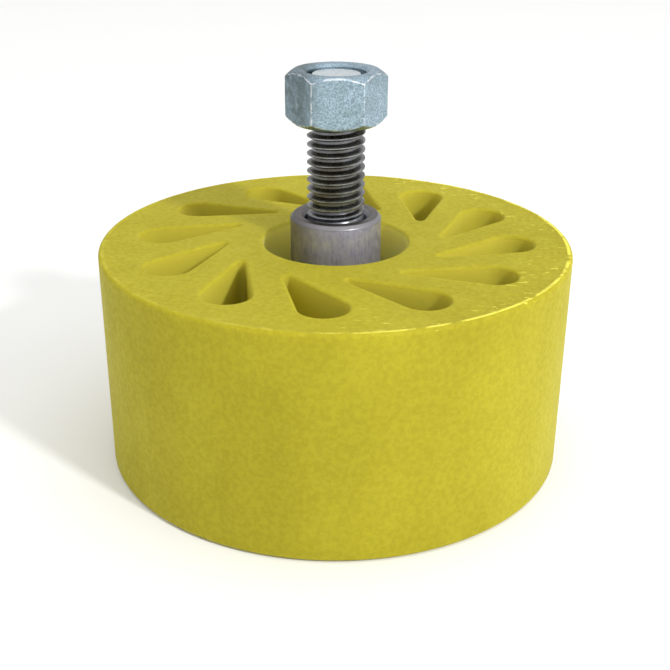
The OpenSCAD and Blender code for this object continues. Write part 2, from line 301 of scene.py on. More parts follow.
def mouth_radius(s):
    """Radius at which a recess's rounded mouth meets the face."""
    return s.recess_r + s.mouth_r


def quarter(steps):
    """Angles of a quarter turn in equal steps."""
    return np.linspace(0, math.pi / 2, steps + 1)


def pocket_rows(s, low_border, top_border):
    """The sector round one pocket as a grid. It starts on the sector's border in the lower face, comes in
    to the pocket, rounds its lower rim, climbs the pocket's wall, rounds the upper rim and goes back out
    to the border in the upper face."""
    tip = (s.tip_at * math.cos(-s.sweep), s.tip_at * math.sin(-s.sweep))
    drop, normal = outline([(s.end_at, 0), tip], [s.end_r, s.tip_r], [ARC_OUT, ARC_IN], SIDE)
    top = face_height(s)

    def rim(z, up):
        """Quarter rounding of the pocket's rim, from the wall out to the face."""
        return [(drop + normal * s.rim_r * (1 - math.cos(v)), z + up * s.rim_r * math.sin(v))
                for v in quarter(6)]

    def face(far, z, dip):
        """Face between the pocket's rim and the border, with shallow hollows that fade out at both."""
        edge = drop + normal * s.rim_r
        levels = []
        for t in np.linspace(0, 1, 9)[1:]:
            p = edge + (far - edge) * t
            sunk = (1 + waves(p[:, 0] / (110 * MM) + p[:, 1] / (70 * MM), (1, 2, 3))) / 2
            levels.append((p, z - dip * (4 * t * (1 - t)) ** 2 * sunk))
        return levels

    wall = [(drop, z) for z in np.linspace(s.rim_r, top - s.rim_r, 14)[1:-1]]
    return stack(face(low_border, 0, 0)[::-1] + rim(s.rim_r, -1)[::-1] + wall
                 + rim(top - s.rim_r, 1) + face(top_border, top, HOLLOW))


def tread_profile(s):
    """Profile from the upper face's border over the lip and down the tread to the lower face's border."""
    t, bend = np.linspace(0, 1, 6), quarter(7)
    flat_r = s.radius - s.edge_r
    lip = np.stack([flat_r - s.lip_w * (1 - t), face_height(s) + s.lip_h * ease(t)], 1)
    upper = np.stack([flat_r + s.edge_r * np.sin(bend), s.width - s.edge_r * (1 - np.cos(bend))], 1)[1:]
    flank = np.stack([np.full(15, s.radius), np.linspace(s.width - s.edge_r, s.edge_r, 17)[1:-1]], 1)
    lower = np.stack([flat_r + s.edge_r * np.cos(bend), s.edge_r * (1 - np.sin(bend))], 1)
    return np.concatenate([lip, upper, flank, lower])


def core_profile(s):
    """Profile from the upper face's border down through the recess, along the seat on the hub tube with
    its two key grooves, and through the lower recess to the lower face."""
    hub_low, hub_top = low("hub_tube", 2), high("hub_tube", 2)
    bottom, key, rim, bend = s.hub_r - s.key_depth, s.key_w / 2, mouth_radius(s), quarter(6)
    seat = [(s.recess_r, hub_top), (s.hub_r, hub_top)]
    for z in (hub_low + 0.75 * (hub_top - hub_low), hub_low + 0.25 * (hub_top - hub_low)):
        seat += [(s.hub_r, z + key), (bottom, z + key), (bottom, z - key), (s.hub_r, z - key)]
    seat += [(s.hub_r, hub_low), (s.recess_r, hub_low)]
    top = np.stack([rim - s.mouth_r * np.sin(bend), face_height(s) - s.mouth_r * (1 - np.cos(bend))], 1)
    foot = np.stack([rim - s.mouth_r * np.cos(bend), s.mouth_r * (1 - np.sin(bend))], 1)
    steps = np.linspace(0, 1, 8)[1:-1, None]
    walls = [a + (b - a) * steps for a, b in ((top[-1], np.array(seat[0])), (np.array(seat[-1]), foot[0]))]
    return np.concatenate([top, walls[0], seat, walls[1], foot])


def roller_grids(s):
    """The roller body as grids: a sector for each pocket, the tread and the core.

    The border between two sectors is two arcs, by the tread and by the recess, joined by lines that swirl
    as the pockets do as far as the pockets' round ends, and back a little beyond them. The tread and the
    core are profiles turned about the axle through the same border points."""
    sector = TURN / s.pockets
    inner = mouth_radius(s)
    swirl = s.sweep / (s.end_at - s.tip_at)        # turn of the border for each metre outwards
    turn_in, turn_out = swirl * (inner - s.end_at), math.radians(8)

    def border(outer):
        """The sector's border, point for point with the pocket's outline."""
        across_out, across_in = np.linspace(-0.5, 0.5, ARC_OUT), np.linspace(0.5, -0.5, ARC_IN)
        t = np.linspace(0, 1, SIDE + 1)[1:-1]
        r = np.concatenate([0 * across_out + outer, outer + (inner - outer) * t,
                            0 * across_in + inner, inner + (outer - inner) * t])
        shift = sector * np.concatenate([across_out, 0 * t + 0.5, across_in, 0 * t - 0.5])
        a = np.interp(r, [inner, s.end_at, outer], [turn_in, 0, turn_out]) + shift
        return np.stack([r * np.cos(a), r * np.sin(a)], 1)

    def ring(points, turned):
        """Angles of the border's points round the roller, with so many points on each sector's arc."""
        return np.arange(s.pockets * (points - 1)) * sector / (points - 1) + s.turn + turned - sector / 2

    outside, inside = tread_profile(s), core_profile(s)
    pocket = pocket_rows(s, border(outside[-1, 0]), border(outside[0, 0]))
    around = ring(ARC_OUT, turn_out)
    tread = revolve(outside, around)
    above = np.clip(tread[..., 2] - face_height(s), 0, None)
    uneven = 0.5 + 0.5 * waves(around / TURN, (5, 9, 14, 23, 37, 61))
    tread[..., 2] -= above * LIP_LOSS * uneven     # the lip comes and goes round the rim
    core = revolve(inside, ring(ARC_IN, turn_in))
    pockets = [(spun(pocket, s.turn + sector * k), True) for k in range(s.pockets)]
    return pockets + [(tread, True), (core, True)]


# ---- bolt, nut and sleeve ----

def thread_depth(phase):
    """Share of the thread's depth at a phase of one turn: 0 on the crest's flat, an eighth of the pitch
    wide, 1 in the root's quarter, with flanks that ease into both."""
    away = np.abs(phase - np.round(phase))
    flank = np.clip((away - 1 / 16) / (1 / 2 - 1 / 16 - 1 / 8), 0, 1)
    return 0.45 * flank + 0.55 * ease(flank)


def thread(z0, z1, pitch, radius_at, a, fine=16):
    """Helical surface between two heights through the angles a, which make one full turn. The rows climb
    one pitch in each turn, so that crests and roots follow them, and are cut off at z0 and z1. The radius
    at an angle and a height is radius_at(phase, z), for the phase z / pitch - angle / 2 pi."""
    a = a[None, :]
    v = np.arange(-2 * fine, math.ceil((z1 - z0) / pitch + 1) * fine + 1)[:, None] / fine
    z = np.clip(z0 + (v + a / TURN) * pitch, z0, z1)
    r = radius_at((z - z0) / pitch - a / TURN, z)
    return np.stack([r * np.cos(a), r * np.sin(a), z], -1)


def hexagon(flats, edge, turn=0.0):
    """Outline of a hexagon with its corners rounded by the radius edge, a flat facing the front."""
    reach = (flats / 2 - edge) / math.cos(math.pi / 6)
    a = turn + np.arange(6) * math.pi / 3
    centres = np.stack([reach * np.cos(a), reach * np.sin(a)], 1)
    return outline(centres, [edge] * 6, arc_steps=[7] * 6, side_steps=20)[0]


def bevelled(shape, flats, z_flat, z_far):
    """Rows from the middle of a hexagon's sides to its flat end: up the side to the crease, a small
    rounding, then down the cone z = end - (distance - face radius) tan bevel to the face's circle."""
    face_r = FACE_SHARE * flats / 2
    broken = 0.22 * MM                 # the crease is rounded this far to both sides
    away = np.hypot(*shape.T)[:, None]
    sign = 1 if z_flat > z_far else -1
    crease_z = z_flat - sign * (away - face_r) * math.tan(BEVEL)
    unit = shape / away
    crease = np.concatenate([shape, crease_z], 1)
    rim = np.concatenate([unit * face_r, 0 * away + z_flat], 1)
    inward = rim - crease
    inward /= np.linalg.norm(inward, axis=1, keepdims=True)
    below = crease - np.array([0, 0, sign * broken])
    beyond = crease + inward * broken
    t = np.linspace(0, 1, 5)[:, None, None]
    bend = (1 - t) ** 2 * below + 2 * t * (1 - t) * crease + t ** 2 * beyond
    middle = np.concatenate([shape, 0 * away + (z_flat + z_far) / 2], 1)
    sides = middle + (below - middle) * np.linspace(0, 1, 5)[:-1, None, None]
    cone = beyond + (rim - beyond) * np.linspace(0, 1, 4)[1:, None, None]
    return np.concatenate([sides, bend, cone])


def ring_rows(start, radii, z):
    """Rows that follow a ring of points inwards: each keeps its angles at a new radius and height."""
    unit = start[:, :2] / np.hypot(start[:, 0], start[:, 1])[:, None]
    heights = np.broadcast_to(z, len(radii))
    return np.stack([np.column_stack([unit * r, np.full(len(unit), h)]) for r, h in zip(radii, heights)])


def disc(radius, z, angles):
    """Flat end disc: rings from the rim to the centre."""
    share = np.linspace(1, 0, 7)
    return revolve(np.stack([radius * share, z + 0 * share], 1), angles)


def bolt_grids(s):
    """Bolt: bevelled head, washer face, shank, thread that runs out into the shank, bevelled end."""
    foot, end = low("axle_bolt", 2), high("axle_bolt", 2)
    under = foot + s.head_h
    start = end - s.thread_len
    depth = THREAD_SHARE * s.pitch
    end_r = s.bolt_r - s.end_chamfer
    washer_r, washer_top = 0.475 * s.flats, under - 0.4 * MM

    shape = hexagon(s.flats, s.hex_edge)
    lower = bevelled(shape, s.flats, foot, washer_top)
    face = ring_rows(lower[-1], np.array([0.42, 0.3, 0.18, 0.06, 0]) * s.flats, foot)
    upper = stack([(shape, z) for z in np.linspace((foot + washer_top) / 2, washer_top, 6)])
    seat = ring_rows(upper[-1], [washer_r, washer_r, s.bolt_r], [washer_top, under, under])
    rows = np.concatenate([face[::-1], lower[::-1], upper[1:], seat])
    shank = ring_rows(seat[-1], np.full(12, s.bolt_r), np.linspace(under, start, 13)[1:])

    def radius_at(phase, z):
        grown = ease((z - start) / (1.5 * s.pitch))    # the thread runs out over a turn and a half
        return np.minimum(s.bolt_r - depth * thread_depth(phase) * grown, end_r + (end - z))

    # the helix and the tip take the hexagon's own angles, so that they weld to the shank
    around = np.sort(np.arctan2(shape[:, 1], shape[:, 0]) % TURN)
    helix = thread(start, end, s.pitch, radius_at, np.append(around, around[0] + TURN))
    tip = disc(end_r, end, around)
    return [(np.concatenate([rows, shank]), True), (helix, False), (tip, True)]


def nut_grids(s):
    """Nut: hexagon bevelled at both ends, countersunk mouths and a thread that clears the bolt's crests."""
    foot, top = low("hex_nut", 2), high("hex_nut", 2)
    bore_r, depth = s.bolt_r + s.nut_play, 0.5 * MM
    mouth = s.nut_mouth_r - bore_r
    shape = hexagon(s.flats, s.hex_edge, s.nut_turn)
    ends = []
    for z, far, inward in ((top, foot, -1), (foot, top, 1)):
        side = bevelled(shape, s.flats, z, far)
        line = soften([(0.47 * s.flats, z), (s.nut_mouth_r, z), (bore_r, z + inward * mouth)], 0.3 * MM)
        ends.append(np.concatenate([side, ring_rows(side[-1], line[:, 0], line[:, 1])]))
    around = np.sort(np.arctan2(shape[:, 1], shape[:, 0]) % TURN)

    def radius_at(phase, z):
        inside = ease((z - foot - mouth) / (0.6 * s.pitch)) * ease((top - mouth - z) / (0.6 * s.pitch))
        return bore_r + depth * (1 - thread_depth(phase)) * inside

    turned = np.append(around, around[0] + TURN)
    helix = thread(foot + mouth, top - mouth, s.pitch, radius_at, turned, fine=12)
    return [(ends[0], True), (ends[1], True), (helix, False)]


def nut_wear_and_glint(s):
    """How rubbed a point of the nut is, which also sets its painted edge highlight: 1 on an upright edge or
    a bevel's crease, less its distance from them as a share of 0.9 mm, and 0 off the hexagon's sides. The
    crease lies (distance from the axle - face radius) tan bevel from its end."""
    foot, top = low("hex_nut", 2), high("hex_nut", 2)
    reach, off_side = 0.9 * MM, 0.4 * MM

    def wear_and_glint(p):
        away = np.hypot(p[:, 0], p[:, 1])
        turned = np.arctan2(p[:, 1], p[:, 0]) - s.nut_turn
        off = np.abs((turned + math.pi / 6) % (math.pi / 3) - math.pi / 6)     # angle to the nearest corner
        side = s.flats / 2 / np.cos(math.pi / 6 - off)
        crease = (away - FACE_SHARE * s.flats / 2) * math.tan(BEVEL)
        end = np.minimum(p[:, 2] - foot, top - p[:, 2])
        near = np.minimum(away * np.sin(off), np.abs(end - crease))
        return np.where(np.abs(away - side) < off_side, np.clip(1 - near / reach, 0, 1), 0)

    return wear_and_glint


def sleeve_grids(s):
    """Sleeve: one closed profile turned about the axle, its corners broken by small curves."""
    foot, top, r = low("mounting_sleeve", 2), high("mounting_sleeve", 2), high("mounting_sleeve", 0)
    middle = (foot + top) / 2
    corners = [
        (s.sleeve_bore_r, middle), (s.sleeve_bore_r, foot), (s.sleeve_nose_r, foot),
        (s.sleeve_nose_r, foot + s.sleeve_nose_h), (r, foot + s.sleeve_nose_h), (r, middle),
        (r, top - s.sleeve_chamfer), (r - s.sleeve_chamfer, top), (s.sleeve_bore_r + s.sleeve_mouth, top),
        (s.sleeve_bore_r, top - s.sleeve_mouth), (s.sleeve_bore_r, middle)]
    return [(revolve(soften(corners, 0.18 * MM), np.linspace(0, TURN, 161)[:-1]), True)]


# ---- finishes ----

def add(tree, kind, inputs=(), out=0, **settings):
    """Adds a shader node with its settings, feeds its inputs from values or sockets, returns one output.

    Inputs go by name or number. MapRange's 1 and 2 are the range it reads, 3 and 4 the range it gives, 0
    to 1 if they are left out; a colour Mix's 0, 6 and 7 are its share and its two colours."""
    node = tree.nodes.new("ShaderNode" + kind)
    for key, value in settings.items():
        setattr(node, key, value)
    for key, value in dict(inputs).items():
        if isinstance(value, bpy.types.NodeSocket):
            tree.links.new(value, node.inputs[key])
        else:
            node.inputs[key].default_value = value
    return node.outputs[out] if node.outputs else None


def blank(name):
    """A new material: itself, its empty node tree and the piece's Object coordinates."""
    material = bpy.data.materials.new(name)
    material.use_nodes = True
    tree = material.node_tree
    tree.nodes.clear()
    return material, tree, add(tree, "TexCoord", out="Object")


def rgba(value, share=1.0):
    """A share of a colour, with full alpha."""
    return (*(min(1.0, share * v) for v in value), 1.0)


def cast_urethane(c, s):
    """Open-cast polyurethane, matt from the mould. Its clear mustard body is clouded by fine bubbles. The
    upper face carries pale nicks and scuffs round its outer edge, and the walls of the pockets and
    recesses are painted paler as painted light against their shade."""
    material, tree, place = blank("cast_urethane")
    x, z = (add(tree, "SeparateXYZ", {0: place}, axis) for axis in "XZ")
    away = add(tree, "VectorMath", {0: place, 1: (1, 1, 0)}, operation="MULTIPLY")
    away = add(tree, "VectorMath", {0: away}, "Value", operation="LENGTH")

    # broad clouds of about 30 mm, streaks of flow 9 mm apart, and bubbles of about a millimetre
    cloud = add(tree, "TexNoise", {"Vector": place, "Scale": 1 / (30 * MM), "Detail": 3.0})
    cloud = add(tree, "MapRange", {0: cloud, 1: 0.34, 2: 0.66})
    leaning = add(tree, "Mapping", {"Vector": place, "Rotation": (0.5, 0.6, 0.2), "Scale": (1, 1, 0.35)})
    flow = add(tree, "TexNoise", {
        "Vector": leaning, "Scale": 1 / (9 * MM), "Detail": 4.0, "Roughness": 0.6})
    flow = add(tree, "MapRange", {0: flow, 1: 0.35, 2: 0.65})
    bubble = add(tree, "TexNoise", {
        "Vector": place, "Scale": 1 / (1.1 * MM), "Detail": 2.0, "Roughness": 0.7})
    bubble = add(tree, "MapRange", {0: bubble, 1: 0.38, 2: 0.62})
    shade = add(tree, "Math", {0: cloud, 1: 0.4}, operation="MULTIPLY")
    shade = add(tree, "Math", {0: flow, 1: 0.2, 2: shade}, operation="MULTIPLY_ADD")
    shade = add(tree, "Math", {0: bubble, 1: 0.4, 2: shade}, operation="MULTIPLY_ADD")
    body = add(tree, "Mix", {0: shade, 6: rgba(c.urethane_dull), 7: rgba(c.urethane)}, 2, data_type="RGBA")

    # the pockets' and recesses' walls, painted paler as painted light against the shade that falls in them,
    # the recesses near white
    pockets_r = s.end_at + s.end_r
    within = add(tree, "MapRange", {0: away, 1: pockets_r + 2 * MM, 2: pockets_r + 1 * MM})
    above = add(tree, "MapRange", {0: z, 1: s.width - s.lip_h - 0.1 * MM, 2: s.width - s.lip_h - 0.9 * MM})
    below = add(tree, "MapRange", {0: z, 1: 0.1 * MM, 2: 0.9 * MM})
    painted_light_walls = add(tree, "Math", {0: within, 1: above}, operation="MULTIPLY")
    painted_light_walls = add(tree, "Math", {0: painted_light_walls, 1: below}, operation="MULTIPLY")
    recess_light_share = add(tree, "MapRange", {0: away, 1: s.recess_r + 1.5 * MM, 2: s.recess_r + 0.7 * MM})
    # core: the painted light of the pocket walls, turning to near-white painted light on the recess walls
    core = add(tree, "Mix", {0: recess_light_share, 6: rgba(c.urethane_pocket_painted_light), 7: rgba(c.urethane_recess_painted_light)}, 2,
               data_type="RGBA")
    body = add(tree, "Mix", {0: painted_light_walls, 6: body, 7: core}, 2, data_type="RGBA")

    # nicks: short pale dashes in patches on the upper face's outer part, and the lip's rubbed crest, both
    # mostly towards +x, the right-hand side
    toward_plus_x = add(tree, "MapRange", {0: x, 1: -15 * MM, 2: 15 * MM, 3: 0.15})
    top = add(tree, "MapRange", {0: z, 1: s.width - 0.9 * MM, 2: s.width - 0.5 * MM})
    outer = add(tree, "MapRange", {0: away, 1: 36 * MM, 2: 49 * MM})
    patch = add(tree, "TexNoise", {"Vector": place, "Scale": 1 / (15 * MM), "Detail": 2.0})
    patch = add(tree, "MapRange", {0: patch, 1: 0.45, 2: 0.53})
    drawn = add(tree, "Mapping", {"Vector": place, "Rotation": (0, 0, 0.25), "Scale": (0.3, 1, 1)})
    dash = add(tree, "TexNoise", {
        "Vector": drawn, "Scale": 1 / (0.9 * MM), "Detail": 2.0, "Roughness": 0.6})
    dash = add(tree, "MapRange", {0: dash, 1: 0.63, 2: 0.68})
    nick = add(tree, "Math", {0: patch, 1: dash}, operation="MULTIPLY")
    nick = add(tree, "Math", {0: nick, 1: outer}, operation="MULTIPLY")
    lip_end = s.radius - s.edge_r
    crest = add(tree, "Math", {0: away, 1: lip_end + 0.1 * MM, 2: 0.35 * MM}, operation="COMPARE")
    rubbed = add(tree, "TexNoise", {
        "Vector": place, "Scale": 1 / (7 * MM), "Detail": 4.0, "Roughness": 0.7})
    rubbed = add(tree, "MapRange", {0: rubbed, 1: 0.43, 2: 0.53})
    rubbed = add(tree, "Math", {0: rubbed, 1: crest}, operation="MULTIPLY")
    nick = add(tree, "Math", {0: nick, 1: rubbed}, operation="MAXIMUM")
    nick = add(tree, "Math", {0: nick, 1: top}, operation="MULTIPLY")
    nick = add(tree, "Math", {0: nick, 1: toward_plus_x}, operation="MULTIPLY")
    pale = add(tree, "Math", {0: nick, 1: 0.8}, operation="MULTIPLY")
    body = add(tree, "Mix", {0: pale, 6: body, 7: rgba(c.urethane_rubbed)}, 2, data_type="RGBA")

    matt = add(tree, "MapRange", {0: shade, 3: 0.72, 4: 0.5})
    skin = add(tree, "TexNoise", {
        "Vector": place, "Scale": 1 / (1.6 * MM), "Detail": 4.0, "Roughness": 0.6})
    skin = add(tree, "Bump", {"Height": skin, "Distance": 0.09 * MM})
    skin = add(tree, "Bump", {"Height": nick, "Distance": 0.1 * MM, "Normal": skin})
    shader = add(tree, "BsdfPrincipled", {
        "Base Color": body, "Roughness": matt, "Normal": skin, "IOR": 1.5, "Specular IOR Level": 0.12,
        "Subsurface Weight": 0.5, "Subsurface Radius": (1.0, 0.85, 0.25), "Subsurface Scale": 4 * MM})
    add(tree, "OutputMaterial", {0: shader})
    return material


def zinc_plate(c):
    """Bright zinc electroplate with a bluish passivate over forged steel: a speckle of light and dark
    grains, one side darkened as painted shade over a real dark mottle, and bright edges that are partly
    rubbed zinc and partly a painted highlight."""
    material, tree, place = blank("zinc_plate")
    # the plate's grain is far finer; it is drawn 0.4 mm wide so that it shows
    grain = add(tree, "TexNoise", {
        "Vector": place, "Scale": 1 / (0.4 * MM), "Detail": 3.0, "Roughness": 0.75})
    speck = add(tree, "MapRange", {0: grain, 1: 0.4, 2: 0.58})
    stain = add(tree, "TexNoise", {"Vector": place, "Scale": 1 / (4 * MM), "Detail": 3.0})
    stain = add(tree, "MapRange", {0: stain, 1: 0.38, 2: 0.68, 4: 0.5})
    plate = add(tree, "Mix", {0: speck, 6: rgba(c.zinc, 0.5), 7: rgba(c.zinc)}, 2, data_type="RGBA")
    plate = add(tree, "Mix", {0: stain, 6: plate, 7: rgba(c.zinc_dull)}, 2, data_type="RGBA")
    # painted shade: the nut's left side, towards -x, is darkened, broken up by a real dark mottle
    x = add(tree, "SeparateXYZ", {0: place}, "X")
    left_shade_and_mottle = add(tree, "MapRange", {0: x, 1: -3.5 * MM, 2: -7 * MM})
    mottle = add(tree, "TexNoise", {"Vector": place, "Scale": 1 / (1.6 * MM), "Detail": 3.0})
    mottle = add(tree, "MapRange", {0: mottle, 1: 0.3, 2: 0.6, 3: 0.35, 4: 0.85})
    left_shade_and_mottle = add(tree, "Math", {0: left_shade_and_mottle, 1: mottle}, operation="MULTIPLY")
    plate = add(tree, "Mix", {0: left_shade_and_mottle, 6: plate, 7: rgba(c.zinc_shade_and_stain)}, 2, data_type="RGBA")
    # edges and creases painted near white: partly rubbed zinc, partly a painted highlight
    rub_and_glint = add(tree, "Attribute", out="Fac", attribute_name="wear_and_glint")
    patchy = add(tree, "TexNoise", {"Vector": place, "Scale": 1 / (1.3 * MM), "Detail": 2.0})
    rub_and_glint = add(tree, "Math", {0: rub_and_glint, 1: patchy}, operation="ADD")
    rub_and_glint = add(tree, "MapRange", {0: rub_and_glint, 1: 1.34, 2: 1.6, 4: 0.85})
    plate = add(tree, "Mix", {0: rub_and_glint, 6: plate, 7: rgba(c.zinc_rubbed_and_glint)}, 2, data_type="RGBA")
    gloss = add(tree, "MapRange", {0: grain, 1: 0.3, 2: 0.7, 3: 0.54, 4: 0.38})
    relief = add(tree, "Bump", {"Height": grain, "Distance": 0.04 * MM})
    swell = add(tree, "TexNoise", {"Vector": place, "Scale": 1 / (2.2 * MM), "Detail": 2.0})
    relief = add(tree, "Bump", {"Height": swell, "Distance": 0.06 * MM, "Normal": relief})
    shader = add(tree, "BsdfPrincipled", {
        "Base Color": plate, "Metallic": 1.0, "Roughness": gloss, "Normal": relief})
    add(tree, "OutputMaterial", {0: shader})
    return material


def rolled_steel(c, end, r):
    """Plain steel with a rolled thread: dark and semi-bright, with crests painted brighter than the roots
    as burnish and painted highlight, a film of dried brown oil and a bright sheared end."""
    material, tree, place = blank("rolled_steel")
    away = add(tree, "VectorMath", {0: place, 1: (1, 1, 0)}, operation="MULTIPLY")
    away = add(tree, "VectorMath", {0: away}, "Value", operation="LENGTH")
    # the crests are painted brighter than the roots: partly burnish, partly a painted highlight on the
    # crests and painted shade in the roots
    crest = add(tree, "MapRange", {0: away, 1: r - 0.7 * MM, 2: r - 0.15 * MM})
    steel = add(tree, "Mix", {0: crest, 6: rgba(c.bolt), 7: rgba(c.bolt_crest_burnish_and_highlight)}, 2, data_type="RGBA")
    film = add(tree, "TexNoise", {"Vector": place, "Scale": 1 / (3.5 * MM), "Detail": 4.0})
    film = add(tree, "MapRange", {0: film, 1: 0.42, 2: 0.62, 4: 0.65})
    steel = add(tree, "Mix", {0: film, 6: steel, 7: rgba(c.bolt_oil)}, 2, data_type="RGBA")
    height = add(tree, "SeparateXYZ", {0: place}, "Z")
    sheared = add(tree, "MapRange", {0: height, 1: end - 0.5 * MM, 2: end - 0.1 * MM})
    steel = add(tree, "Mix", {0: sheared, 6: steel, 7: rgba(c.bolt_end)}, 2, data_type="RGBA")
    fine = add(tree, "TexNoise", {
        "Vector": place, "Scale": 1 / (0.6 * MM), "Detail": 3.0, "Roughness": 0.7})
    gloss = add(tree, "MapRange", {0: fine, 1: 0.3, 2: 0.7, 3: 0.22, 4: 0.42})
    relief = add(tree, "Bump", {"Height": fine, "Distance": 0.02 * MM})
    shader = add(tree, "BsdfPrincipled", {
        "Base Color": steel, "Metallic": 1.0, "Roughness": gloss, "Normal": relief})
    add(tree, "OutputMaterial", {0: shader})
    return material


def ground_steel(c, top):
    """Turned steel with upright grinding streaks: bare purple-grey metal with darker scale between the
    streaks, painted shade on the left side, grey chamfers and a painted shadow on the upper end face."""
    material, tree, place = blank("ground_steel")
    upright = add(tree, "Mapping", {"Vector": place, "Scale": (1, 1, 0.15)})
    streak = add(tree, "TexNoise", {
        "Vector": upright, "Scale": 1 / (0.45 * MM), "Detail": 3.0, "Roughness": 0.65})
    blotch = add(tree, "TexNoise", {
        "Vector": place, "Scale": 1 / (1.8 * MM), "Detail": 4.0, "Roughness": 0.65})
    both = add(tree, "Math", {0: streak, 1: blotch}, operation="ADD")
    shade = add(tree, "MapRange", {0: both, 1: 0.68, 2: 1.22})
    x, height = (add(tree, "SeparateXYZ", {0: place}, axis) for axis in "XZ")
    steel = add(tree, "Mix", {0: shade, 6: rgba(c.sleeve_dark), 7: rgba(c.sleeve)}, 2, data_type="RGBA")
    chamfer = add(tree, "MapRange", {0: height, 1: top - 1.15 * MM, 2: top - 0.8 * MM})
    steel = add(tree, "Mix", {0: chamfer, 6: steel, 7: rgba(c.sleeve_chamfer)}, 2, data_type="RGBA")
    # painted shade: the sleeve's left side, towards -x, is darkened
    side = add(tree, "MapRange", {0: x, 1: -3 * MM, 2: -9 * MM, 4: 0.75})
    steel = add(tree, "Mix", {0: side, 6: steel, 7: rgba(c.sleeve_painted_shade)}, 2, data_type="RGBA")
    # painted shadow: the sleeve's upper end face is darkened
    face = add(tree, "MapRange", {0: height, 1: top - 0.15 * MM, 2: top - 0.05 * MM, 4: 0.9})
    steel = add(tree, "Mix", {0: face, 6: steel, 7: rgba(c.sleeve_painted_shade)}, 2, data_type="RGBA")
    gloss = add(tree, "MapRange", {0: both, 1: 0.8, 2: 1.2, 3: 0.44, 4: 0.28})
    relief = add(tree, "Bump", {"Height": streak, "Distance": 0.02 * MM})
    shader = add(tree, "BsdfPrincipled", {
        "Base Color": steel, "Metallic": 0.8, "Roughness": gloss, "Normal": relief})
    add(tree, "OutputMaterial", {0: shader})
    return material


def turned_steel(name, value, roughness):
    """Lathe-turned or ground steel: even grey with faint rings of tool marks along the axle."""
    material, tree, place = blank(name)
    cloud = add(tree, "TexNoise", {"Vector": place, "Scale": 1 / (4 * MM)})
    cloud = add(tree, "MapRange", {0: cloud, 1: 0.3, 2: 0.7})
    steel = add(tree, "Mix", {0: cloud, 6: rgba(value, 0.75), 7: rgba(value)}, 2, data_type="RGBA")
    # a tool's feed is about 0.1 mm; the marks are drawn 0.3 mm apart so that they show
    around = add(tree, "Mapping", {"Vector": place, "Scale": (0.03, 0.03, 1)})
    rings = add(tree, "TexNoise", {"Vector": around, "Scale": 1 / (0.3 * MM)})
    gloss = add(tree, "MapRange", {0: rings, 1: 0.3, 2: 0.7, 3: roughness - 0.06, 4: roughness + 0.1})
    relief = add(tree, "Bump", {"Height": rings, "Distance": 0.01 * MM})
    shader = add(tree, "BsdfPrincipled", {
        "Base Color": steel, "Metallic": 1.0, "Roughness": gloss, "Normal": relief})
    add(tree, "OutputMaterial", {0: shader})
    return material


def moulded(name, value, roughness, grain):
    """Moulded rubber or plastic: one colour with a slight bloom and a fine matt grain."""
    material, tree, place = blank(name)
    bloom = add(tree, "TexNoise", {"Vector": place, "Scale": 1 / (3 * MM), "Detail": 3.0})
    bloom = add(tree, "MapRange", {0: bloom, 1: 0.35, 2: 0.7})
    tint = add(tree, "Mix", {0: bloom, 6: rgba(value), 7: rgba(value, 1.25)}, 2, data_type="RGBA")
    matt = add(tree, "MapRange", {0: bloom, 3: roughness, 4: roughness + 0.12})
    pore = add(tree, "TexNoise", {"Vector": place, "Scale": 1 / grain})
    relief = add(tree, "Bump", {"Height": pore, "Distance": 0.02 * MM})
    shader = add(tree, "BsdfPrincipled", {"Base Color": tint, "Roughness": matt, "Normal": relief})
    add(tree, "OutputMaterial", {0: shader})
    return material


def seamless_paper(c):
    """Matt white studio paper, with the faintest unevenness."""
    material, tree, place = blank("seamless_paper")
    cloud = add(tree, "TexNoise", {"Vector": place, "Scale": 1 / (40 * MM)})
    tint = add(tree, "Mix", {0: cloud, 6: rgba(c.floor, 0.98), 7: rgba(c.floor)}, 2, data_type="RGBA")
    shader = add(tree, "BsdfPrincipled", {"Base Color": tint, "Roughness": 0.9, "Specular IOR Level": 0.1})
    add(tree, "OutputMaterial", {0: shader})
    return material


def finish_nodes(names, material):
    """Gives nodes of the frame a material."""
    for name in names:
        frame["nodes"][name].material_slots[0].material = material


# ---- stage ----

def lay_floor(scene, c):
    """A round sheet of pale paper, just under the roller."""
    radius, sunk = 3.0, 0.2 * MM
    ring = revolve(np.array([(radius, -sunk)]), np.linspace(0, TURN, 97)[:-1])[0]
    mesh = bpy.data.meshes.new("floor")
    mesh.from_pydata(ring.tolist(), [], [list(range(len(ring)))])
    mesh.materials.append(seamless_paper(c))
    floor = bpy.data.objects.new("floor", mesh)
    scene.collection.objects.link(floor)


def hang_lights(scene):
    """Two round soft boxes that face the middle of the roller: the key, and a fill from the right."""
    middle = Vector((0, 0, 40 * MM))
    for name, place, size, power in (
            ("key", (0.54, -0.56, 0.56), 0.09, 4.9),
            ("right", (0.95, -0.10, 0.25), 0.30, 0.3)):
        light = bpy.data.lights.new(name, "AREA")
        light.shape, light.size, light.energy = "DISK", size, power
        lamp = bpy.data.objects.new(name, light)
        lamp.location = place
        lamp.rotation_euler = (middle - lamp.location).to_track_quat("-Z", "Y").to_euler()
        scene.collection.objects.link(lamp)


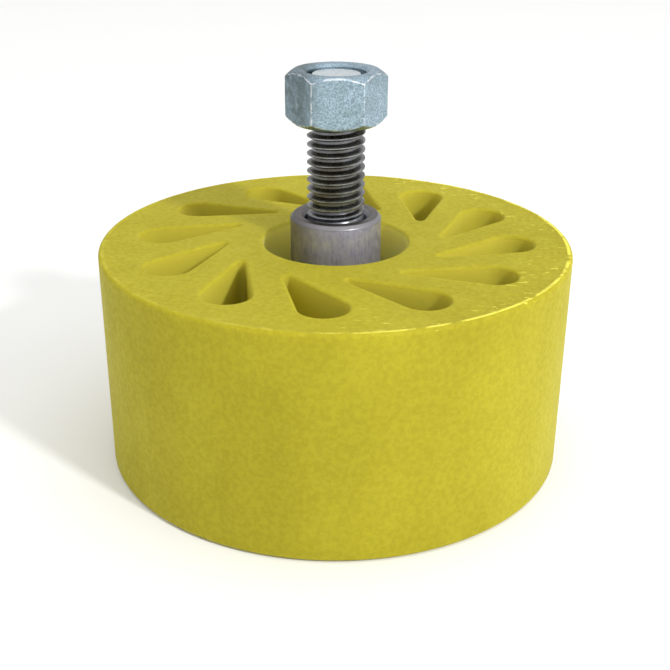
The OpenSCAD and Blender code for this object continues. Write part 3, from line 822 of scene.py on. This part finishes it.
def whiten_room(scene):
    """A white room, brighter overhead than at its walls, and dimmer to the left."""
    scene.world = scene.world or bpy.data.worlds.new("studio")
    scene.world.use_nodes = True
    tree = scene.world.node_tree
    tree.nodes.clear()
    way = add(tree, "TexCoord", out="Generated")
    rightward, upward = (add(tree, "SeparateXYZ", {0: way}, axis) for axis in "XZ")
    glow = add(tree, "MapRange", {0: upward, 3: 0.55, 4: 1.25})
    dim = add(tree, "MapRange", {0: rightward, 1: -1.0, 2: 0.2, 3: 0.82, 4: 1.0})
    glow = add(tree, "Math", {0: glow, 1: dim}, operation="MULTIPLY")
    add(tree, "OutputWorld", {0: add(tree, "Background", {"Color": (1, 1, 1, 1), "Strength": glow})})
    scene.view_settings.view_transform = "Standard"


def place_camera(scene):
    """The camera, which looks down on the roller from the front with a slight roll."""
    eye = (0, -232.97 * MM, 131.59 * MM)
    pitch, roll = math.radians(24.34), math.radians(0.34)
    camera = bpy.data.objects.new("camera", bpy.data.cameras.new("camera"))
    camera.data.lens, camera.data.sensor_width = 58.87, 36
    camera.data.clip_start = 10 * MM
    turned = Matrix.Rotation(math.pi / 2 - pitch, 4, "X") @ Matrix.Rotation(roll, 4, "Z")
    camera.matrix_world = Matrix.Translation(eye) @ turned
    scene.collection.objects.link(camera)
    scene.camera = camera


# ---- operators ----

class StageOperator(bpy.types.Operator):
    """Sets up the pale floor, the soft studio lights and the camera"""
    bl_idname = "track_roller.stage"
    bl_label = "Stage"

    def execute(self, context):
        scene = context.scene
        lay_floor(scene, scene.roller_finishes)
        hang_lights(scene)
        whiten_room(scene)
        place_camera(scene)
        return {"FINISHED"}


class BodyOperator(bpy.types.Operator):
    """Builds the cast urethane roller body with its swirled pockets"""
    bl_idname = "track_roller.body"
    bl_label = "Roller body"

    def execute(self, context):
        roller, colours = context.scene.roller_sizes, context.scene.roller_finishes
        piece("cast_roller_body", roller_grids(roller), "roller", ["roller_body"],
              cast_urethane(colours, roller))
        return {"FINISHED"}


class BoltOperator(bpy.types.Operator):
    """Builds the axle bolt with its rolled thread"""
    bl_idname = "track_roller.bolt"
    bl_label = "Axle bolt"

    def execute(self, context):
        axle, colours = context.scene.axle_sizes, context.scene.roller_finishes
        piece("threaded_axle_bolt", bolt_grids(axle), "axle", ["axle_bolt"],
              rolled_steel(colours, high("axle_bolt", 2), axle.bolt_r))
        return {"FINISHED"}


class NutOperator(bpy.types.Operator):
    """Builds the zinc-plated hexagon nut"""
    bl_idname = "track_roller.nut"
    bl_label = "Nut"

    def execute(self, context):
        axle, colours = context.scene.axle_sizes, context.scene.roller_finishes
        piece("plated_hex_nut", nut_grids(axle), "nut", ["hex_nut"],
              zinc_plate(colours), nut_wear_and_glint(axle))
        return {"FINISHED"}


class SleeveOperator(bpy.types.Operator):
    """Builds the ground mounting sleeve and finishes the spacers"""
    bl_idname = "track_roller.sleeve"
    bl_label = "Sleeve and spacers"

    def execute(self, context):
        axle, colours = context.scene.axle_sizes, context.scene.roller_finishes
        steel = ground_steel(colours, high("mounting_sleeve", 2))
        piece("ground_mounting_sleeve", sleeve_grids(axle), "axle",
              ["mounting_sleeve"], steel)
        finish_nodes(["head_spacer", "bearing_spacer"], steel)
        return {"FINISHED"}


class BearingOperator(bpy.types.Operator):
    """Finishes the hub tube, the ball bearings and the retaining rings"""
    bl_idname = "track_roller.bearings"
    bl_label = "Hub and bearings"

    def execute(self, context):
        colours = context.scene.roller_finishes
        bearings = ("lower_bearing_", "upper_bearing_")
        finish_nodes(["hub_tube"], turned_steel("turned_hub_steel", colours.hub, roughness=0.42))
        finish_nodes([b + part for b in bearings for part in ("outer_ring", "inner_ring")],
                     turned_steel("ground_bearing_steel", colours.bearing, roughness=0.24))
        finish_nodes([b + "balls" for b in bearings],
                     turned_steel("polished_ball_steel", colours.bearing, roughness=0.12))
        finish_nodes([b + "cage" for b in bearings],
                     moulded("moulded_nylon", colours.cage, roughness=0.5, grain=0.4 * MM))
        finish_nodes([b + part for b in bearings for part in ("outboard_seal", "inboard_seal")],
                     moulded("nitrile_rubber", colours.seal, roughness=0.55, grain=0.3 * MM))
        finish_nodes(["lower_retaining_ring", "upper_retaining_ring"],
                     turned_steel("phosphated_spring_steel", colours.clip, roughness=0.46))
        return {"FINISHED"}


OPERATORS = (StageOperator, BodyOperator, BoltOperator, NutOperator, SleeveOperator, BearingOperator)


class RollerPanel(bpy.types.Panel):
    """Lists the roller's pieces and its stage"""
    bl_idname = "VIEW3D_PT_track_roller"
    bl_label = "Track roller"
    bl_space_type = "VIEW_3D"
    bl_region_type = "UI"
    bl_category = "Track roller"

    def draw(self, context):
        for operator in OPERATORS:
            self.layout.operator(operator.bl_idname)


GROUPS = {"roller_sizes": RollerSizes, "axle_sizes": AxleSizes, "roller_finishes": Finishes}
CLASSES = (*GROUPS.values(), *OPERATORS, RollerPanel)


def register():
    for cls in CLASSES:
        bpy.utils.register_class(cls)
    for name, group in GROUPS.items():
        setattr(bpy.types.Scene, name, PointerProperty(type=group))


def unregister():
    for name in GROUPS:
        delattr(bpy.types.Scene, name)
    for cls in reversed(CLASSES):
        bpy.utils.unregister_class(cls)


def main():
    register()
    for operator in OPERATORS:
        family, name = operator.bl_idname.split(".")
        getattr(getattr(bpy.ops, family), name)()


if __name__ == "__main__":
    main()
